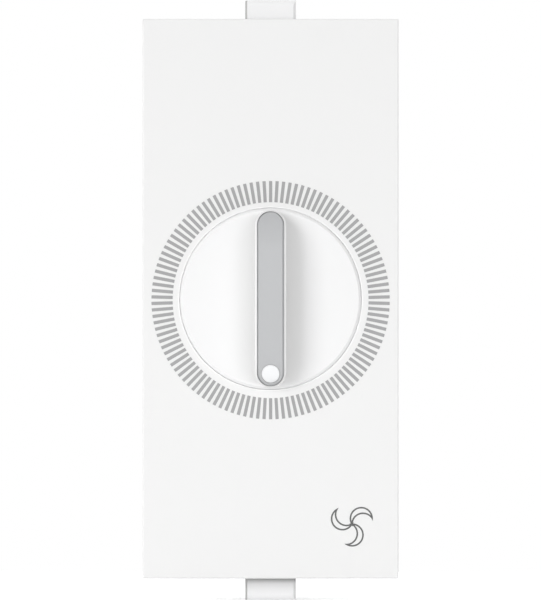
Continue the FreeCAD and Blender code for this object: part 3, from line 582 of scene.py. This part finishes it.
# Painted shade on the catches: on the chamfers, more on the left, and on the lower catch below
# the plate's edge
recolor(housing_white, catch_painted_shade, Grime_Color=PAINTED_SHADE_COLOR, Left_Amount=0.75,
        Right_Amount=0.08, Lower_Amount=0.85)
for coat, rings in (
        (bleed_tan, (RING_BROWN, RING_BLACK, RING_YELLOW, RING_GOLD)),
        (surge_blue, (RING_YELLOW, RING_VIOLET, RING_BLACK, RING_GOLD))):
    for ring_place, ring_color in zip(RESISTOR_RINGS, rings):
        recolor(coat, painted_band, Place=ring_place * MM, Band_Color=ring_color)
    bare_leads(coat, half_length=RESISTOR_HALF_LENGTH)
bare_leads(capacitor_blue, front=CAPACITOR_FRONT)
cut_thread(screw_metal, 0.12)

finishes = {
    "front_plate": plate_white, "rear_housing": housing_white, "dial_marks": tick_grey,
    "knob_body": knob_white, "knob_inlay": inlay_grey, "pointer_dot": pointer_white,
    "knob_grip_clip": spring_metal, "switch_spindle": spindle_cream,
    "spindle_ring": spring_metal, "wiper_contact": brass, "switch_cover": switch_black,
    "switch_base": switch_black, "switch_rivets": plated_metal, "common_contact": brass,
    "detent_spring": spring_metal, "circuit_board": board_brown,
    "capacitor_large": capacitor_blue, "capacitor_small": capacitor_blue,
    "bleed_resistor": bleed_tan, "surge_resistor_1": surge_blue,
    "surge_resistor_2": surge_blue,
}
for end_name in ("off", "1", "2", "3", "4", "5"):
    finishes["contact_" + end_name] = brass
for side_name in ("live", "load"):
    finishes["terminal_bar_" + side_name] = brass
    finishes["terminal_cage_" + side_name] = plated_metal
    finishes["terminal_screw_" + side_name] = screw_metal

for node_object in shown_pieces():
    node_object.data.materials.clear()
    node_object.data.materials.append(finishes[node_object.name])


def circle_meet(centre_a, radius_a, centre_b, radius_b):
    """The two points where circles a and b cross: along the line of centres by
    (d2 + ra2 - rb2) / 2d, and across it by the rest of ra."""
    line = centre_b - centre_a
    apart = np.hypot(*line)
    along = (apart ** 2 + radius_a ** 2 - radius_b ** 2) / (2 * apart)
    across = math.sqrt(max(radius_a ** 2 - along ** 2, 0.0))
    line = line / apart
    middle = centre_a + line * along
    return [middle + np.array((-line[1], line[0])) * across * sign for sign in (1, -1)]


def arc_points(centre, radius, start, end, through):
    """Points on the arc from start to end that passes nearest to through: the centre plus
    the radius at evenly spaced angles."""
    a = math.atan2(*(start - centre)[::-1])
    b = math.atan2(*(end - centre)[::-1])
    middle = math.atan2(*(through - centre)[::-1])
    sweep = (b - a) % (2 * math.pi)
    if (middle - a) % (2 * math.pi) > sweep:
        sweep -= 2 * math.pi
    turn = a + np.linspace(0.0, 1.0, SIGN_ARC_POINTS) * sweep
    return centre + radius * np.stack([np.cos(turn), np.sin(turn)], axis=1)


def crescent_loop(grow):
    """Outline of a blade, moved outwards by grow: the outer arc out to the tip and the
    inner arc back to the hub, between the crossings of the two circles."""
    angle = math.radians(SIGN_TIP_ANGLE)
    tip = SIGN_TIP_RADIUS * np.array((math.cos(angle), math.sin(angle)))
    across = np.array((-math.sin(angle), math.cos(angle)))
    half = SIGN_TIP_RADIUS / 2
    outer = tip / 2 + across * math.sqrt(SIGN_OUTER_RADIUS ** 2 - half ** 2)
    inner = tip / 2 - across * math.sqrt(SIGN_INNER_RADIUS ** 2 - half ** 2)
    outer_radius, inner_radius = SIGN_OUTER_RADIUS + grow, SIGN_INNER_RADIUS - grow
    ends = sorted(circle_meet(outer, outer_radius, inner, inner_radius),
                  key=lambda p: float(p @ tip))
    outer_top = outer + outer_radius * across
    inner_top = inner + inner_radius * across
    forth = arc_points(outer, outer_radius, ends[0], ends[1], outer_top)
    home = arc_points(inner, inner_radius, ends[1], ends[0], inner_top)
    return np.concatenate([forth[:-1], home[:-1]])


def plate_point(flat, y):
    """Points of the sign, right and up from its hub, at depth y."""
    return np.stack([SIGN_HUB[0] + flat[:, 0], np.full(len(flat), y),
                     SIGN_HUB[1] + flat[:, 1]], axis=1)


def ring_solid(loops):
    """Quads between loops of the same number of points, the last joined to the first."""
    rows, count = len(loops), len(loops[0])
    i, j = np.meshgrid(np.arange(rows), np.arange(count), indexing="ij")
    ni, nj = (i + 1) % rows, (j + 1) % count
    faces = np.stack([i * count + j, ni * count + j, ni * count + nj, i * count + nj], axis=-1)
    return np.concatenate(loops), faces.reshape(-1, 4)


def face_outward(mesh):
    """Turns all faces of a closed mesh outwards."""
    work = bmesh.new()
    work.from_mesh(mesh)
    bmesh.ops.recalc_face_normals(work, faces=work.faces)
    work.to_mesh(mesh)
    work.free()


def add_piece(name, points, faces, material, body):
    """A new piece of the switch, from points in millimetres."""
    mesh = bpy.data.meshes.new(name)
    mesh.from_pydata((np.asarray(points) * MM).tolist(), [], [list(f) for f in faces])
    mesh.validate()
    face_outward(mesh)
    mesh.materials.append(material)
    made = bpy.data.objects.new(name, mesh)
    bpy.context.scene.collection.objects.link(made)
    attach(made, body)


def make_fan_sign():
    """Three crescents a third of a turn apart, each a stroke between its outline grown and
    shrunk by half the stroke, with a small disc of ink over the hub."""
    points, faces, base = [], [], 0
    front, back = PLATE_FRONT - SIGN_INK, PLATE_FRONT + SIGN_SUNK
    for blade in range(SIGN_BLADES):
        turn = 2 * math.pi * blade / SIGN_BLADES
        spin = np.array([[math.cos(turn), math.sin(turn)], [-math.sin(turn), math.cos(turn)]])
        wide = crescent_loop(SIGN_STROKE / 2) @ spin
        slim = crescent_loop(-SIGN_STROKE / 2) @ spin
        ink, quads = ring_solid([plate_point(wide, front), plate_point(slim, front),
                                 plate_point(slim, back), plate_point(wide, back)])
        points.append(ink)
        faces += (quads + base).tolist()
        base += len(ink)
    around = np.linspace(0, 2 * math.pi, SIGN_HUB_SIDES + 1)[:-1]
    disc = SIGN_HUB_RADIUS * np.stack([np.cos(around), np.sin(around)], axis=1)
    points += [plate_point(disc, front - SIGN_INK / 4), plate_point(disc, back)]
    ring = np.arange(SIGN_HUB_SIDES)
    after = (ring + 1) % SIGN_HUB_SIDES
    sides = np.stack([ring, after, after + SIGN_HUB_SIDES, ring + SIGN_HUB_SIDES], axis=1)
    faces += (sides + base).tolist()
    faces += [(ring + base).tolist(), (ring[::-1] + base + SIGN_HUB_SIDES).tolist()]
    add_piece("fan_sign", np.concatenate(points), faces, sign_ink, "switch_case")


make_fan_sign()


# Floor, light and camera

def seen_ray(tree):
    """One for camera, gloss and glass rays, and zero for the light that falls on things."""
    paths = add_node(tree, "ShaderNodeLightPath")
    seen = math_node(tree, "ADD", paths.outputs["Is Camera Ray"],
                     paths.outputs["Is Glossy Ray"])
    return math_node(tree, "ADD", seen, paths.outputs["Is Transmission Ray"], True)


def make_world(front, rear, fade):
    """Even light, weaker from the front, where the softboxes stand, than from the rear, and
    white where it is seen itself."""
    world = bpy.data.worlds.new("studio")
    bpy.context.scene.world = world
    world.use_nodes = True
    tree = world.node_tree
    ambient = tree.nodes["Background"]
    backdrop = add_node(tree, "ShaderNodeBackground")
    for light in (ambient, backdrop):
        light.inputs["Color"].default_value = (1.0, 1.0, 1.0, 1.0)
    direction = add_node(tree, "ShaderNodeTexCoord").outputs["Generated"]
    x, y, z = axes(tree, direction)
    behind = math_node(tree, "MULTIPLY", ramp(tree, y, *fade), rear - front)
    tree.links.new(math_node(tree, "ADD", behind, front), ambient.inputs["Strength"])
    mix = add_node(tree, "ShaderNodeMixShader")
    tree.links.new(seen_ray(tree), mix.inputs["Fac"])
    tree.links.new(ambient.outputs[0], mix.inputs[1])
    tree.links.new(backdrop.outputs[0], mix.inputs[2])
    tree.links.new(mix.outputs[0], tree.nodes["World Output"].inputs["Surface"])


def make_floor(size, color, glow):
    """A pale floor under the switch that keeps the shadow, and glows for the rays that see
    it, so that it is white where nothing shades it."""
    mesh = bpy.data.meshes.new("studio_floor")
    x = y = size * MM / 2
    z = FLOOR_LEVEL * MM
    mesh.from_pydata([(-x, -y, z), (x, -y, z), (x, y, z), (-x, y, z)], [], [(0, 1, 2, 3)])
    floor = bpy.data.objects.new("studio_floor", mesh)
    bpy.context.scene.collection.objects.link(floor)
    material = bpy.data.materials.new("studio_floor")
    material.use_nodes = True
    tree = material.node_tree
    shader = tree.nodes["Principled BSDF"]
    shader.inputs["Base Color"].default_value = (*color, 1.0)
    shader.inputs["Roughness"].default_value = 0.9
    shader.inputs["Specular IOR Level"].default_value = 0.0
    shine = add_node(tree, "ShaderNodeEmission")
    tree.links.new(math_node(tree, "MULTIPLY", seen_ray(tree), glow), shine.inputs["Strength"])
    both = add_node(tree, "ShaderNodeAddShader")
    tree.links.new(shader.outputs[0], both.inputs[0])
    tree.links.new(shine.outputs[0], both.inputs[1])
    tree.links.new(both.outputs[0], tree.nodes["Material Output"].inputs["Surface"])
    mesh.materials.append(material)


def aim(thing, target):
    """Turns a lamp or the camera to look at a point in metres."""
    away = Vector(target) - thing.location
    thing.rotation_euler = away.to_track_quat("-Z", "Y").to_euler()


def softbox(name, left, right, low, high, away, power):
    """A rectangular lamp square on to the front plate, that many metres in front of it,
    from left to right and from low to high."""
    lamp = bpy.data.lights.new(name, "AREA")
    lamp.shape = "RECTANGLE"
    lamp.size, lamp.size_y = right - left, high - low
    lamp.energy = power
    box = bpy.data.objects.new(name, lamp)
    bpy.context.scene.collection.objects.link(box)
    box.location = ((left + right) / 2, -away, (low + high) / 2)
    aim(box, (box.location.x, 0.0, box.location.z))


def make_camera(lens):
    """Square on to the front plate, from far away, so that the plate hides its sides."""
    data = bpy.data.cameras.new("front_view")
    data.lens = lens
    data.sensor_width = 36.0
    distance = VIEW_HEIGHT / data.sensor_width * lens * MM
    data.clip_start = distance / 10
    data.clip_end = distance * 10
    camera = bpy.data.objects.new("front_view", data)
    bpy.context.scene.collection.objects.link(camera)
    camera.location = (VIEW_CENTRE[0] * MM, PLATE_FRONT * MM - distance, VIEW_CENTRE[1] * MM)
    camera.rotation_euler = (math.pi / 2, 0.0, 0.0)
    bpy.context.scene.camera = camera


make_camera(lens=1000.0)
make_world(front=0.44, rear=1.05, fade=(-0.45, 0.15))
make_floor(size=300.0, color=(0.94, 0.94, 0.94), glow=0.5)
softbox("key_box", left=-0.95, right=-0.325, low=-0.01, high=0.5, away=1.0, power=6.3)
softbox("fill_box", left=0.08, right=0.65, low=-0.01, high=0.45, away=1.0, power=1.65)

# White walls of narrow gaps pass light on many times
cycles = bpy.context.scene.cycles
cycles.diffuse_bounces = 24
cycles.max_bounces = 32

bpy.context.scene.view_settings.view_transform = "Standard"
